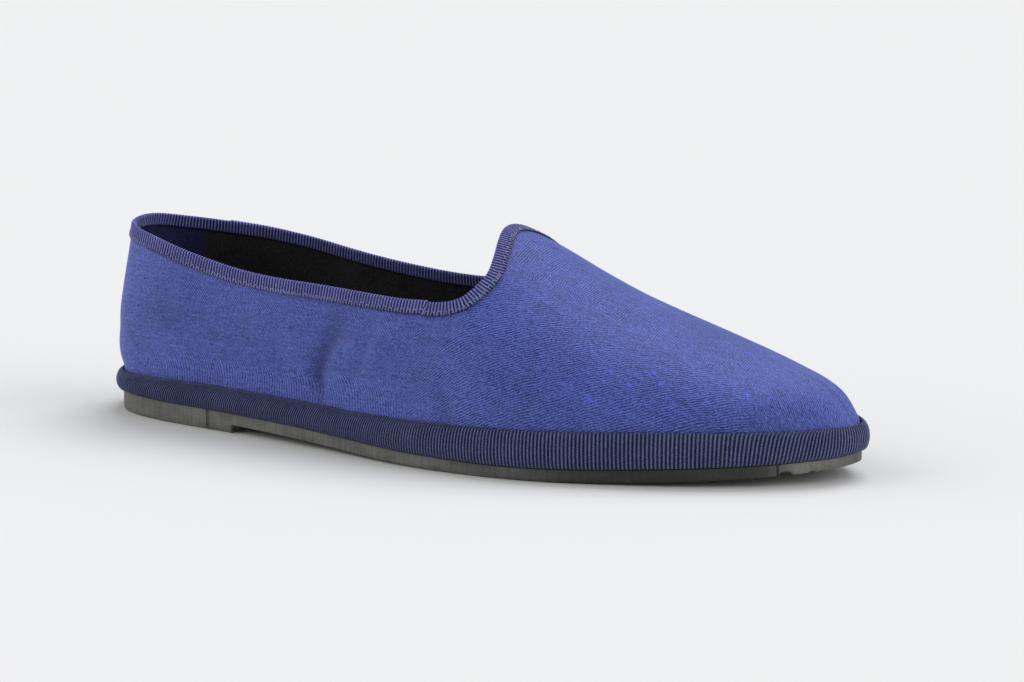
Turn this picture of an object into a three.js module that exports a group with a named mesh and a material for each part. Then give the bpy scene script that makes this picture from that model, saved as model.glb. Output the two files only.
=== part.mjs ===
// A Friulian cloth slipper for the right foot: a silk upper with a rounded vamp, a ribbon over its
// topline, a ribbon-covered cloth midsole that stands proud of the upper, and a cut rubber outsole.
// Millimetres. +X is the toe, +Y the inner (medial) side, +Z up, and the floor is z = 0.
import * as THREE from 'three';
import { mergeVertices } from 'three/addons/utils/BufferGeometryUtils.js';

// Driving sizes
const length = 270;            // heel to toe, over the midsole edge
const ballWidth = 93;          // across the ball, over the midsole edge
const heelHeight = 64;         // floor to the top of the binding at the back of the heel
const instepHeight = 73.5;     // floor to the crown of the vamp at the throat
const toeSpring = 4.9;         // rise of the sole under the toe tip
const soleHeight = 7;          // floor to the underside of the midsole at the heel
const midsoleHeight = 12;      // midsole edge, top to bottom, at the ball
const heelBlock = 58;          // heel block of the outsole, from the back of the shoe to its front face
const archRise = 2.6;          // floor to the outsole just in front of the heel block
const outsoleInset = 2.3;      // outsole edge, in from the midsole edge
const upperInset = 2.7;        // foot of the upper, in from the midsole edge
const groove = 1.4;            // depth of the seat that the upper stands in
const wall = 1.6;              // upper: cloth, backing and lining
const insoleThickness = 1.8;
const ribbon = 0.6;            // thickness of the folded topline ribbon
const ribbonOutside = 3.2;     // ribbon leg on the outside of the upper
const ribbonInside = 2.4;      // ribbon leg on the lining
const clearance = 0.3;         // between pieces that meet
const insoleMargin = 1.6;      // edge of the insole, in from the lining at its foot
const insoleBevel = 0.8;       // top edge of the insole, in from its side
const outsoleBevel = 0.7;      // bottom edge of the outsole, in from its side
const faceSlope = 0.4;         // how far the front face of the heel block leans forward

// Where things change, as shares of the length
const heelReach = 0.25;        // the heel's lean has died out
const ballStart = 0.56;        // the outsole meets the floor again
const springStart = 0.62;      // it leaves the floor for the toe
const toeEnd = 0.985;          // the crown starts to drop to the toe tip

// Shapes of curves
const springPower = 2;         // how the toe spring grows
const fanPower = 0.8;          // how fast the columns of the vamp lie down towards the toe
const footPower = 1.6;         // samples of a column crowd towards its foot
const footBias = 1.25;         // and so do its points

// Resolution
const columns = 40;            // steps from heel to toe along each side
const rows = 16;               // steps from the foot of the upper to its top
const fineSteps = 60;          // samples along one column before it is spaced evenly
const foldSteps = 6;           // steps over the fold of the ribbon
const legSteps = 2;            // steps along each leg of the ribbon
const slopeReach = 0.001;      // share of a turn over which the footprint's direction is read
const weldReach = 0.0001;      // points closer than this become one

// Plan of the midsole edge: place along the length, then both sides from the heel-to-toe axis,
// as shares of the ball width. The toe swings to the inner side, so lateral ends below zero.
const outlineRows = [
  { at: 0, lateral: 0, medial: 0 },
  { at: 0.03, lateral: 0.198, medial: 0.192 },
  { at: 0.1, lateral: 0.289, medial: 0.294 },
  { at: 0.2, lateral: 0.34, medial: 0.338 },
  { at: 0.35, lateral: 0.427, medial: 0.326 },
  { at: 0.5, lateral: 0.52, medial: 0.365 },
  { at: 0.65, lateral: 0.517, medial: 0.468 },
  { at: 0.8, lateral: 0.388, medial: 0.467 },
  { at: 0.9, lateral: 0.251, medial: 0.374 },
  { at: 0.96, lateral: 0.12, medial: 0.268 },
  { at: 0.99, lateral: 0.015, medial: 0.177 },
  { at: 1, lateral: -0.102, medial: 0.102 },
];

// Underside of the midsole before toe spring, as a share of the sole height,
// and the height of the midsole edge, as a share of the midsole height.
const midsoleRows = [
  { at: 0, under: 0.976, edge: 0.51 },
  { at: 0.1, under: 0.995, edge: 0.625 },
  { at: 0.2, under: 0.989, edge: 0.675 },
  { at: 0.3, under: 0.935, edge: 0.71 },
  { at: 0.4, under: 0.808, edge: 0.775 },
  { at: 0.5, under: 0.691, edge: 0.875 },
  { at: 0.6, under: 0.627, edge: 0.965 },
  { at: 0.7, under: 0.637, edge: 1 },
  { at: 0.8, under: 0.656, edge: 0.976 },
  { at: 0.9, under: 0.618, edge: 0.887 },
  { at: 1, under: 0.537, edge: 0.745 },
];

// Arch sections of the last. crown: height above the floor as a share of the instep height, which
// behind the throat is the foot that the opening leaves out. ridge: how far the crown lies to the
// inner side of the middle, as a share of the ball width. full: how square the arch is (2 is round).
const sectionRows = [
  { at: 0, crown: 1.42, ridge: 0, full: 3 },
  { at: 0.1, crown: 1.44, ridge: 0, full: 2.8 },
  { at: 0.2, crown: 1.38, ridge: 0, full: 2.5 },
  { at: 0.35, crown: 1.2, ridge: 0.02, full: 2.2 },
  { at: 0.48, crown: 1.03, ridge: 0.04, full: 2.05 },
  { at: 0.548, crown: 0.987, ridge: 0.045, full: 2 },
  { at: 0.58, crown: 0.932, ridge: 0.045, full: 2 },
  { at: 0.64, crown: 0.816, ridge: 0.04, full: 2.02 },
  { at: 0.7, crown: 0.711, ridge: 0.035, full: 2.05 },
  { at: 0.8, crown: 0.576, ridge: 0.03, full: 2.1 },
  { at: 0.9, crown: 0.461, ridge: 0.02, full: 2.15 },
  { at: 0.96, crown: 0.382, ridge: 0, full: 2.2 },
  { at: 0.99, crown: 0.265, ridge: 0, full: 2.2 },
  { at: 1, crown: 0.215, ridge: 0, full: 2.2 },
];

// Top of the binding on both sides, as a share of the heel height, from the heel to the throat.
const collarRows = [
  { at: 0, lateral: 1, medial: 1 },
  { at: 0.03, lateral: 0.992, medial: 0.97 },
  { at: 0.08, lateral: 0.965, medial: 0.942 },
  { at: 0.15, lateral: 0.908, medial: 0.915 },
  { at: 0.21, lateral: 0.866, medial: 0.885 },
  { at: 0.27, lateral: 0.845, medial: 0.845 },
  { at: 0.35, lateral: 0.839, medial: 0.803 },
  { at: 0.42, lateral: 0.831, medial: 0.777 },
  { at: 0.47, lateral: 0.826, medial: 0.774 },
  { at: 0.5, lateral: 0.83, medial: 0.784 },
];

// Back of the heel, by shares of its height: how far it stands forward, in shares of its height.
const heelRows = [
  { at: 0, lean: 0 },
  { at: 0.04, lean: -0.001 },
  { at: 0.12, lean: -0.027 },
  { at: 0.2, lean: -0.034 },
  { at: 0.3, lean: -0.026 },
  { at: 0.41, lean: -0.022 },
  { at: 0.55, lean: -0.002 },
  { at: 1, lean: 0.064 },
];

// Throat edge of the wall, from the side up to the crown: place along the length, and how far over
// the arch it lies, from the foot (0) to the crown (1). The edge turns up sharply, leans a little
// to the toe and comes back at the crown.
const throatRows = [
  { at: 0.5, lateral: 0.412, medial: 0.378 },
  { at: 0.526, lateral: 0.43, medial: 0.395 },
  { at: 0.545, lateral: 0.462, medial: 0.44 },
  { at: 0.555, lateral: 0.503, medial: 0.5 },
  { at: 0.563, lateral: 0.558, medial: 0.558 },
  { at: 0.568, lateral: 0.638, medial: 0.638 },
  { at: 0.565, lateral: 0.728, medial: 0.728 },
  { at: 0.559, lateral: 0.818, medial: 0.818 },
  { at: 0.554, lateral: 0.893, medial: 0.893 },
  { at: 0.551, lateral: 0.952, medial: 0.952 },
  { at: 0.55, lateral: 1, medial: 1 },
];

// Edge of the midsole from underneath to its seat: how far in from the widest line, in shares of
// the upper inset, and how high, in shares of the edge height.
const edgeRows = [
  { inward: 1.1, up: 0 },
  { inward: 0.55, up: 0.02 },
  { inward: 0.2, up: 0.14 },
  { inward: 0, up: 0.38 },
  { inward: 0.03, up: 0.62 },
  { inward: 0.22, up: 0.84 },
  { inward: 0.52, up: 0.97 },
  { inward: 0.8, up: 1 },
];

// A smooth curve through one column of a table, read at any place.
function curveOf(table, column, place = (row) => row.at) {
  const xs = table.map(place);
  const ys = table.map((row) => row[column]);
  const last = xs.length - 1;
  const slope = (i) => {
    const before = Math.max(i - 1, 0);
    const after = Math.min(i + 1, last);
    return (ys[after] - ys[before]) / (xs[after] - xs[before]);
  };
  return (x) => {
    let i = 0;
    while (i < last - 1 && x > xs[i + 1]) i += 1;
    const span = xs[i + 1] - xs[i];
    const u = THREE.MathUtils.clamp((x - xs[i]) / span, 0, 1);
    const v = 1 - u;
    return ys[i] * (1 + 2 * u) * v * v + slope(i) * span * u * v * v
      + ys[i + 1] * (3 - 2 * u) * u * u - slope(i + 1) * span * u * u * v;
  };
}

// Going round the heel and toe, equal turns give finer steps at both ends.
const placeOfTurn = (turn) => 0.5 - 0.5 * Math.cos(Math.PI * turn);
const turnOfPlace = (at) => Math.acos(1 - 2 * at) / Math.PI;

const lateralHalf = curveOf(outlineRows, 'lateral', (row) => turnOfPlace(row.at));
const medialHalf = curveOf(outlineRows, 'medial', (row) => turnOfPlace(row.at));
const underShare = curveOf(midsoleRows, 'under');
const edgeShare = curveOf(midsoleRows, 'edge');
const crownShare = curveOf(sectionRows, 'crown');
const ridgeShare = curveOf(sectionRows, 'ridge');
const fullness = curveOf(sectionRows, 'full');
const rowIndex = (row) => throatRows.indexOf(row) / (throatRows.length - 1);
const heelLean = curveOf(heelRows, 'lean');
const throatPlace = curveOf(throatRows, 'at', rowIndex);
const collarTop = {
  lateral: curveOf(collarRows, 'lateral'),
  medial: curveOf(collarRows, 'medial'),
};
const throatOver = {
  lateral: curveOf(throatRows, 'lateral', rowIndex),
  medial: curveOf(throatRows, 'medial', rowIndex),
};

// The origin is under the middle of the footprint's box.
const turns = Array.from({ length: 201 }, (unused, i) => i / 200);
const widest = (half) => Math.max(...turns.map(half)) * ballWidth;
const centreX = length / 2;
const centreY = (widest(medialHalf) - widest(lateralHalf)) / 2;

// Heights along the shoe.
const forwardOfSpring = (at) => Math.max(0, at - springStart) / (1 - springStart);
const spring = (at) => toeSpring * forwardOfSpring(at) ** springPower;
const midsoleUnder = (at) => soleHeight * underShare(at) + spring(at);
const midsoleTop = (at) => midsoleUnder(at) + midsoleHeight * edgeShare(at);
const seat = (at) => midsoleTop(at) - groove;
const upperFoot = (at) => seat(at) + clearance;

// A point of the footprint, a given distance in from the midsole edge.
function footprint(turn, side, inward) {
  const half = side === 'lateral' ? (t) => -lateralHalf(t) : medialHalf;
  const place = (t) => new THREE.Vector2(placeOfTurn(t) * length, half(t) * ballWidth);
  const turnIn = side === 'lateral' ? 1 : -1;
  const here = place(turn);
  const ahead = place(Math.min(turn + slopeReach, 1));
  const behind = place(Math.max(turn - slopeReach, 0));
  const along = ahead.sub(behind).normalize();
  if (turn === 0) along.set(0, -turnIn);
  if (turn === 1) along.set(0, turnIn);
  here.x -= along.y * turnIn * inward;
  here.y += along.x * turnIn * inward;
  return new THREE.Vector3(here.x - centreX, here.y - centreY, 0);
}

// Stations once round the shoe: heel, lateral side, toe, medial side.
function roundStations(steps) {
  const lateral = steps.map((turn) => ({ turn, side: 'lateral' }));
  const medial = steps.slice(1, -1).reverse().map((turn) => ({ turn, side: 'medial' }));
  return [...lateral, ...medial];
}

const evenTurns = Array.from({ length: columns + 1 }, (unused, i) => i / columns);

// A ring round the footprint at a height that follows the length.
function ring(steps, inward, height) {
  return roundStations(steps).map(({ turn, side }) => {
    const point = footprint(turn, side, inward);
    point.z = height(placeOfTurn(turn));
    return point;
  });
}

// A point of the last: place along the length, and an angle that runs from the foot of the
// upper on one side (0) over to the crown (a quarter turn).
function lastPoint(at, side, angle) {
  const turn = turnOfPlace(at);
  const here = footprint(turn, side, upperInset);
  const other = footprint(turn, side === 'lateral' ? 'medial' : 'lateral', upperInset);
  const middle = here.clone().add(other).multiplyScalar(0.5);
  const power = 2 / fullness(at);
  const outward = Math.cos(angle) ** power;
  const upward = Math.sin(angle) ** power;
  const rise = Math.max(instepHeight * crownShare(at) - upperFoot(at), 0);
  const end = Math.sqrt(Math.max(1 - at, 0) / (1 - toeEnd));
  const crownRise = at > toeEnd ? rise * Math.min(end, 1) : rise;
  const point = middle.clone().lerp(here, outward);
  point.y += ridgeShare(at) * ballWidth * upward ** 2;
  point.z = upperFoot(at) + crownRise * upward;
  const climb = (point.z - upperFoot(at)) / (heelHeight - upperFoot(at));
  const fade = Math.max(0, 1 - at / heelReach) ** 2;
  point.x += fade * heelHeight * heelLean(climb);
  return point;
}

// The angle at which the last reaches a height.
function angleAt(at, height) {
  const share = (height - upperFoot(at)) / (instepHeight * crownShare(at) - upperFoot(at));
  const sine = THREE.MathUtils.clamp(share, 0, 1) ** (fullness(at) / 2);
  return Math.asin(sine);
}

// Points along a polyline, a little closer together near its start.
function evenly(points, count) {
  const lengths = [0];
  for (let i = 1; i < points.length; i += 1) {
    lengths.push(lengths[i - 1] + points[i].distanceTo(points[i - 1]));
  }
  const total = lengths[lengths.length - 1];
  const picked = [];
  for (let k = 0; k <= count; k += 1) {
    const target = total * (k / count) ** footBias;
    let i = 1;
    while (i < points.length - 1 && lengths[i] < target) i += 1;
    const share = (target - lengths[i - 1]) / (lengths[i] - lengths[i - 1]);
    picked.push(points[i - 1].clone().lerp(points[i], THREE.MathUtils.clamp(share, 0, 1)));
  }
  return picked;
}

const foldRadius = wall / 2 + clearance + ribbon;

// The top of one column: place along the length and angle over the arch. The collar table gives
// the top of the binding, and the wall ends the fold's radius short of it.
function columnTop(turn, side) {
  const forward = 2 * turn - 1;
  if (forward > 0) {
    return { at: throatPlace(forward), angle: (Math.PI / 2) * throatOver[side](forward) };
  }
  const at = placeOfTurn(turn);
  return { at, angle: angleAt(at, heelHeight * collarTop[side](at) - foldRadius) };
}

// One column of the upper, from its foot to the topline. Behind the throat a column stands
// upright. In front of it the columns fan out from the throat edge to the toe.
function upperColumn(turn, side) {
  const foot = placeOfTurn(turn);
  const forward = Math.max(0, 2 * turn - 1);
  const top = columnTop(turn, side);
  const lift = (1 - forward) ** fanPower;
  const points = [];
  for (let i = 0; i <= fineSteps; i += 1) {
    const share = (i / fineSteps) ** footPower;
    const at = foot + (top.at - foot) * share;
    const climb = turn === 1 ? 1 : share ** lift;
    points.push(lastPoint(at, side, top.angle * climb));
  }
  return evenly(points, rows);
}

// The outer face of the upper as columns, and its outward normals.
function upperFace() {
  const face = roundStations(evenTurns).map(({ turn, side }) => upperColumn(turn, side));
  const count = face.length;
  const normals = face.map((column, c) => column.map((point, r) => {
    const next = face[(c + 1) % count][r];
    const before = face[(c + count - 1) % count][r];
    const above = column[Math.min(r + 1, rows)];
    const below = column[Math.max(r - 1, 0)];
    const across = next.clone().sub(before);
    const up = above.clone().sub(below);
    return across.cross(up).normalize();
  }));
  return { face, normals };
}

// A closed solid from rings that all have the same stations. Two flat ends are bridged across
// between the lateral and the medial side, unless the rings close on themselves.
function solidFromRings(rings, closesOnItself) {
  const count = rings[0].length;
  const positions = rings.flat().flatMap((point) => [point.x, point.y, point.z]);
  const faces = [];
  const last = rings.length - 1;
  const spans = closesOnItself ? rings.length : last;
  for (let r = 0; r < spans; r += 1) {
    const low = r * count;
    const high = ((r + 1) % rings.length) * count;
    for (let c = 0; c < count; c += 1) {
      const d = (c + 1) % count;
      faces.push(low + c, low + d, high + d);
      faces.push(low + c, high + d, high + c);
    }
  }
  if (!closesOnItself) {
    const half = count / 2;
    const partner = (c) => (count - c) % count;
    for (const [base, up] of [[0, false], [last * count, true]]) {
      for (let c = 0; c < half; c += 1) {
        const quad = [base + c, base + c + 1, base + partner(c + 1), base + partner(c)];
        const turned = up ? quad : quad.slice().reverse();
        if (turned[0] !== turned[3]) faces.push(turned[0], turned[2], turned[3]);
        faces.push(turned[0], turned[1], turned[2]);
      }
    }
  }
  const geometry = new THREE.BufferGeometry();
  geometry.setAttribute('position', new THREE.Float32BufferAttribute(positions, 3));
  geometry.setIndex(faces.filter((unused, i) => {
    const t = i - (i % 3);
    return faces[t] !== faces[t + 1] && faces[t + 1] !== faces[t + 2] && faces[t] !== faces[t + 2];
  }));
  const merged = mergeVertices(geometry, weldReach);
  merged.computeVertexNormals();
  return merged;
}

// Upper: outer face up, over the top edge, lining face down, and back along the foot.
function upperGeometry({ face, normals }) {
  const outer = [];
  const inner = [];
  for (let r = 0; r <= rows; r += 1) {
    outer.push(face.map((column) => column[r]));
    inner.unshift(face.map((column, c) => {
      const point = column[r].clone().addScaledVector(normals[c][r], -wall);
      if (r === 0) point.z = column[0].z;
      return point;
    }));
  }
  return solidFromRings([...outer, ...inner], true);
}

// Binding: a ribbon folded over the top edge, its two legs clear of the wall by the clearance.
function bindingGeometry({ face, normals }) {
  const legs = (radius) => {
    const line = [];
    for (let i = legSteps; i > 0; i -= 1) {
      line.push({ out: radius, up: (-ribbonOutside * i) / legSteps });
    }
    for (let i = 0; i <= foldSteps; i += 1) {
      const angle = (Math.PI * i) / foldSteps;
      line.push({ out: radius * Math.cos(angle), up: radius * Math.sin(angle) });
    }
    for (let i = 1; i <= legSteps; i += 1) {
      line.push({ out: -radius, up: (-ribbonInside * i) / legSteps });
    }
    return line;
  };
  const section = [...legs(foldRadius), ...legs(foldRadius - ribbon).reverse()];
  const count = face.length;
  const rings = section.map(({ out, up }) => face.map((column, c) => {
    const normal = normals[c][rows];
    const along = face[(c + 1) % count][rows].clone().sub(face[(c + count - 1) % count][rows]);
    const upward = normal.clone().cross(along).normalize();
    if (upward.dot(column[rows].clone().sub(column[rows - 1])) < 0) upward.negate();
    return column[rows].clone().addScaledVector(normal, out - wall / 2).addScaledVector(upward, up);
  }));
  return solidFromRings(rings, true);
}

// Midsole: the cloth layers under the foot with a rounded ribbon edge, and a seat for the upper.
function midsoleGeometry() {
  const rings = edgeRows.map(({ inward, up }) => ring(evenTurns, inward * upperInset,
    (at) => THREE.MathUtils.lerp(midsoleUnder(at), midsoleTop(at), up)));
  const seatInset = upperInset - clearance;
  rings.push(ring(evenTurns, seatInset, (at) => midsoleTop(at) - clearance));
  rings.push(ring(evenTurns, seatInset, seat));
  return solidFromRings(rings, false);
}

// Outsole: flat under the heel block and the ball, raised in the arch and at the toe. Stations
// within half a step of the block's front face give way to the two that make the face.
function outsoleGeometry() {
  const front = heelBlock / length;
  const faceTop = (heelBlock + faceSlope) / length;
  const halfStep = 0.5 / columns;
  const clear = (turn) => Math.abs(turn - turnOfPlace(front)) > halfStep;
  const steps = [...evenTurns.filter(clear), turnOfPlace(front), turnOfPlace(faceTop)];
  steps.sort((a, b) => a - b);
  const arch = (at) => archRise * (1 - THREE.MathUtils.smoothstep(at, front, ballStart));
  const under = (at) => (at < faceTop ? 0 : arch(at) + spring(at));
  const top = (at) => midsoleUnder(at) - clearance;
  const rings = [
    ring(steps, outsoleInset + outsoleBevel, under),
    ring(steps, outsoleInset, (at) => Math.min(under(at) + outsoleBevel, top(at))),
    ring(steps, outsoleInset, top),
  ];
  return solidFromRings(rings, false);
}

// Insole: a thin sock that lies on the midsole inside the upper.
function insoleGeometry() {
  const inset = upperInset + wall + insoleMargin;
  const bottom = (at) => seat(at) + clearance;
  const rings = [
    ring(evenTurns, inset, bottom),
    ring(evenTurns, inset, (at) => bottom(at) + insoleThickness - insoleBevel),
    ring(evenTurns, inset + insoleBevel, (at) => bottom(at) + insoleThickness),
  ];
  return solidFromRings(rings, false);
}

function piece(name, geometry, colour, roughness) {
  const material = new THREE.MeshStandardMaterial({ color: colour, roughness, metalness: 0 });
  const mesh = new THREE.Mesh(geometry, material);
  mesh.name = name;
  return mesh;
}

const shell = upperFace();
const slipper = new THREE.Group();
slipper.add(piece('upper', upperGeometry(shell), 0x2a35a0, 0.55));
slipper.add(piece('topline_binding', bindingGeometry(shell), 0x20245c, 0.8));
slipper.add(piece('midsole', midsoleGeometry(), 0x1b2152, 0.85));
slipper.add(piece('outsole', outsoleGeometry(), 0x3a3b3b, 0.7));
slipper.add(piece('insole', insoleGeometry(), 0x101012, 0.9));

export default slipper;
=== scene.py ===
# A Friulian cloth slipper for the right foot, dressed over its frame. Metres; +X toe, +Y inner side.
import math
import bpy
import numpy as np
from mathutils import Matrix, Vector


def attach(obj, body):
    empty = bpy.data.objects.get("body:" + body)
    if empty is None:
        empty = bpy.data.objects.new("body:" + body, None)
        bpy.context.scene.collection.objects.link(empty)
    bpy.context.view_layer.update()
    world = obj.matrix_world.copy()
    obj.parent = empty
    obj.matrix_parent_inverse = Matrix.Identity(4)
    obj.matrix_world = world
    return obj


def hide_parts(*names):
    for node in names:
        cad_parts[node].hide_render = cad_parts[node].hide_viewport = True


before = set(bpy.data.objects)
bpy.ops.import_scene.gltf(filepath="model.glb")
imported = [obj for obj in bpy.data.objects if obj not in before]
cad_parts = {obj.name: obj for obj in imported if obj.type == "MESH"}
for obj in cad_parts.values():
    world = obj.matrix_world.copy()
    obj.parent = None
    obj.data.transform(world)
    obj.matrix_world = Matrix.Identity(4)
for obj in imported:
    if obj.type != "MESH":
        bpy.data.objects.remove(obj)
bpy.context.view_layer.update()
print("frame loaded, nodes:", ", ".join(sorted(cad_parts)))

# Sizes of the last and the sole, shared by every piece
last = {
    "length": 0.270,
    "ballWidth": 0.093,
    "heelHeight": 0.064,      # floor to the top of the binding at the heel
    "instepHeight": 0.0735,   # floor to the crown at the throat
    "toeSpring": 0.0049,
    "soleHeight": 0.007,
    "midsoleHeight": 0.012,
    "upperInset": 0.0027,     # foot of the upper, in from the midsole edge
    "groove": 0.0014,
    "wall": 0.0016,
    "clearance": 0.0003,
    "ribbon": 0.0006,
    "rowPower": 1.1,          # rows of the upper lie a little closer at the foot
    "heelReach": 0.25,        # from here on, shares of the length
    "springStart": 0.62,
    "toeEnd": 0.985,
    "fanPower": 0.8,
    "footPower": 1.6,
}
outline = {
    "at": [0, 0.03, 0.1, 0.2, 0.35, 0.5, 0.65, 0.8, 0.9, 0.96, 0.99, 1],
    "lateral": [0, 0.198, 0.289, 0.34, 0.427, 0.52, 0.517, 0.388, 0.251, 0.12, 0.015, -0.102],
    "medial": [0, 0.192, 0.294, 0.338, 0.326, 0.365, 0.468, 0.467, 0.374, 0.268, 0.177, 0.102],
}
soleLine = {
    "at": [0, 0.1, 0.2, 0.3, 0.4, 0.5, 0.6, 0.7, 0.8, 0.9, 1],
    "under": [0.976, 0.995, 0.989, 0.935, 0.808, 0.691, 0.627, 0.637, 0.656, 0.618, 0.537],
    "edge": [0.51, 0.625, 0.675, 0.71, 0.775, 0.875, 0.965, 1, 0.976, 0.887, 0.745],
}
sections = {
    "at": [0, 0.1, 0.2, 0.35, 0.48, 0.548, 0.58, 0.64, 0.7, 0.8, 0.9, 0.96, 0.99, 1],
    "crown": [1.42, 1.44, 1.38, 1.2, 1.03, 0.987, 0.932, 0.816, 0.711, 0.576, 0.461, 0.382, 0.265, 0.215],
    "ridge": [0, 0, 0, 0.02, 0.04, 0.045, 0.045, 0.04, 0.035, 0.03, 0.02, 0, 0, 0],
    "full": [3, 2.8, 2.5, 2.2, 2.05, 2, 2, 2.02, 2.05, 2.1, 2.15, 2.2, 2.2, 2.2],
}
collar = {
    "at": [0, 0.03, 0.08, 0.15, 0.21, 0.27, 0.35, 0.42, 0.47, 0.5],
    "lateral": [1, 0.992, 0.965, 0.908, 0.866, 0.845, 0.839, 0.831, 0.826, 0.83],
    "medial": [1, 0.97, 0.942, 0.915, 0.885, 0.845, 0.803, 0.777, 0.774, 0.784],
}
heelLine = {   # shares of the heel height: how high, and how far forward
    "at": [0, 0.04, 0.12, 0.2, 0.3, 0.41, 0.55, 1],
    "lean": [0, -0.001, -0.027, -0.034, -0.026, -0.022, -0.002, 0.064],
}
throat = {
    "at": [0.5, 0.526, 0.545, 0.555, 0.563, 0.568, 0.565, 0.559, 0.554, 0.551, 0.55],
    "lateral": [0.412, 0.43, 0.462, 0.503, 0.558, 0.638, 0.728, 0.818, 0.893, 0.952, 1],
    "medial": [0.378, 0.395, 0.44, 0.5, 0.558, 0.638, 0.728, 0.818, 0.893, 0.952, 1],
}


def curveThrough(places, values):  # a smooth curve through a short table
    xs = np.asarray(places, float)
    ys = np.asarray(values, float)
    end = len(xs) - 1
    after = np.minimum(np.arange(end + 1) + 1, end)
    before = np.maximum(np.arange(end + 1) - 1, 0)
    slopes = (ys[after] - ys[before]) / (xs[after] - xs[before])

    def read(x):
        x = np.asarray(x, float)
        i = np.clip(np.searchsorted(xs, x) - 1, 0, end - 1)
        span = xs[i + 1] - xs[i]
        u = np.clip((x - xs[i]) / span, 0, 1)
        v = 1 - u
        return (ys[i] * (1 + 2 * u) * v * v + slopes[i] * span * u * v * v
                + ys[i + 1] * (3 - 2 * u) * u * u - slopes[i + 1] * span * u * u * v)
    return read


def placeOfTurn(turn):  # equal turns crowd at the heel and the toe
    return 0.5 - 0.5 * np.cos(np.pi * np.asarray(turn, float))


def turnOfPlace(at):
    return np.arccos(1 - 2 * np.asarray(at, float)) / np.pi


outlineTurns = turnOfPlace(outline["at"])
lateralHalf = curveThrough(outlineTurns, outline["lateral"])
medialHalf = curveThrough(outlineTurns, outline["medial"])
underShare = curveThrough(soleLine["at"], soleLine["under"])
edgeShare = curveThrough(soleLine["at"], soleLine["edge"])
crownShare = curveThrough(sections["at"], sections["crown"])
ridgeShare = curveThrough(sections["at"], sections["ridge"])
fullness = curveThrough(sections["at"], sections["full"])
heelLean = curveThrough(heelLine["at"], heelLine["lean"])
throatSteps = np.linspace(0, 1, len(throat["at"]))
throatPlace = curveThrough(throatSteps, throat["at"])
sideNames = {-1: "lateral", 1: "medial"}   # the outer side and the inner one
collarTop = {side: curveThrough(collar["at"], collar[name]) for side, name in sideNames.items()}
throatOver = {side: curveThrough(throatSteps, throat[name]) for side, name in sideNames.items()}
foldRadius = last["wall"] / 2 + last["clearance"] + last["ribbon"]


def bySide(side, lateral, medial):  # side is -1 on the outer, lateral side and 1 on the inner one
    return np.where(np.asarray(side) < 0, lateral, medial)


def halfWidth(turn, side):
    return bySide(side, -lateralHalf(turn), medialHalf(turn)) * last["ballWidth"]


sweep = np.linspace(0, 1, 201)
centreX = last["length"] / 2
centreY = (medialHalf(sweep).max() - lateralHalf(sweep).max()) * last["ballWidth"] / 2
turnStep = 0.001   # for the slope of the outline


def footprint(turn, side, inward):  # plan of the midsole edge, or a line inward of it
    turn, side, inward = np.broadcast_arrays(np.asarray(turn, float), side, inward)
    turnIn = -side
    ahead = np.minimum(turn + turnStep, 1)
    behind = np.maximum(turn - turnStep, 0)
    dx = last["length"] * (placeOfTurn(ahead) - placeOfTurn(behind))
    dy = halfWidth(ahead, side) - halfWidth(behind, side)
    size = np.hypot(dx, dy)
    dx = np.where((turn <= 0) | (turn >= 1), 0, dx / size)
    dy = np.where(turn <= 0, -turnIn, np.where(turn >= 1, turnIn, dy / size))
    x = placeOfTurn(turn) * last["length"] - dy * turnIn * inward - centreX
    y = halfWidth(turn, side) + dx * turnIn * inward - centreY
    return x, y


def spring(at):
    return last["toeSpring"] * (np.maximum(0, at - last["springStart"]) / (1 - last["springStart"])) ** 2


def midsoleUnder(at):
    return last["soleHeight"] * underShare(at) + spring(at)


def midsoleTop(at):
    return midsoleUnder(at) + last["midsoleHeight"] * edgeShare(at)


def seat(at):
    return midsoleTop(at) - last["groove"]


def upperFoot(at):
    return seat(at) + last["clearance"]


def lastPoint(at, side, angle):  # the last's surface: angle 0 is the foot, a quarter turn the crown
    at, side, angle = np.broadcast_arrays(np.asarray(at, float), side, np.asarray(angle, float))
    turn = turnOfPlace(at)
    hereX, hereY = footprint(turn, side, last["upperInset"])
    otherX, otherY = footprint(turn, -side, last["upperInset"])
    power = 2 / fullness(at)
    outward = np.clip(np.cos(angle), 0, 1) ** power
    upward = np.clip(np.sin(angle), 0, 1) ** power
    foot = upperFoot(at)
    rise = np.maximum(last["instepHeight"] * crownShare(at) - foot, 0)
    end = np.sqrt(np.maximum(1 - at, 0) / (1 - last["toeEnd"]))
    rise = np.where(at > last["toeEnd"], rise * np.minimum(end, 1), rise)
    x = (hereX + otherX) / 2 + (hereX - otherX) / 2 * outward
    y = (hereY + otherY) / 2 + (hereY - otherY) / 2 * outward
    y = y + ridgeShare(at) * last["ballWidth"] * upward ** 2
    z = foot + rise * upward
    climb = (z - foot) / (last["heelHeight"] - foot)
    fade = np.maximum(0, 1 - at / last["heelReach"]) ** 2
    return np.stack([x + fade * last["heelHeight"] * heelLean(climb), y, z], axis=-1)


def angleAt(at, height):
    share = (height - upperFoot(at)) / (last["instepHeight"] * crownShare(at) - upperFoot(at))
    return np.arcsin(np.clip(share, 0, 1) ** (fullness(at) / 2))


def aroundTurns(perSide):  # once round: heel, lateral side, toe, medial side
    steps = np.linspace(0, 1, perSide + 1)
    turns = np.concatenate([steps, steps[-2:0:-1]])
    sides = np.concatenate([np.full(perSide + 1, -1), np.full(perSide - 1, 1)])
    return turns, sides


def travelled(steps):  # how far along a line each of its points is
    return np.concatenate([[0], np.cumsum(steps)])


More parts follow.
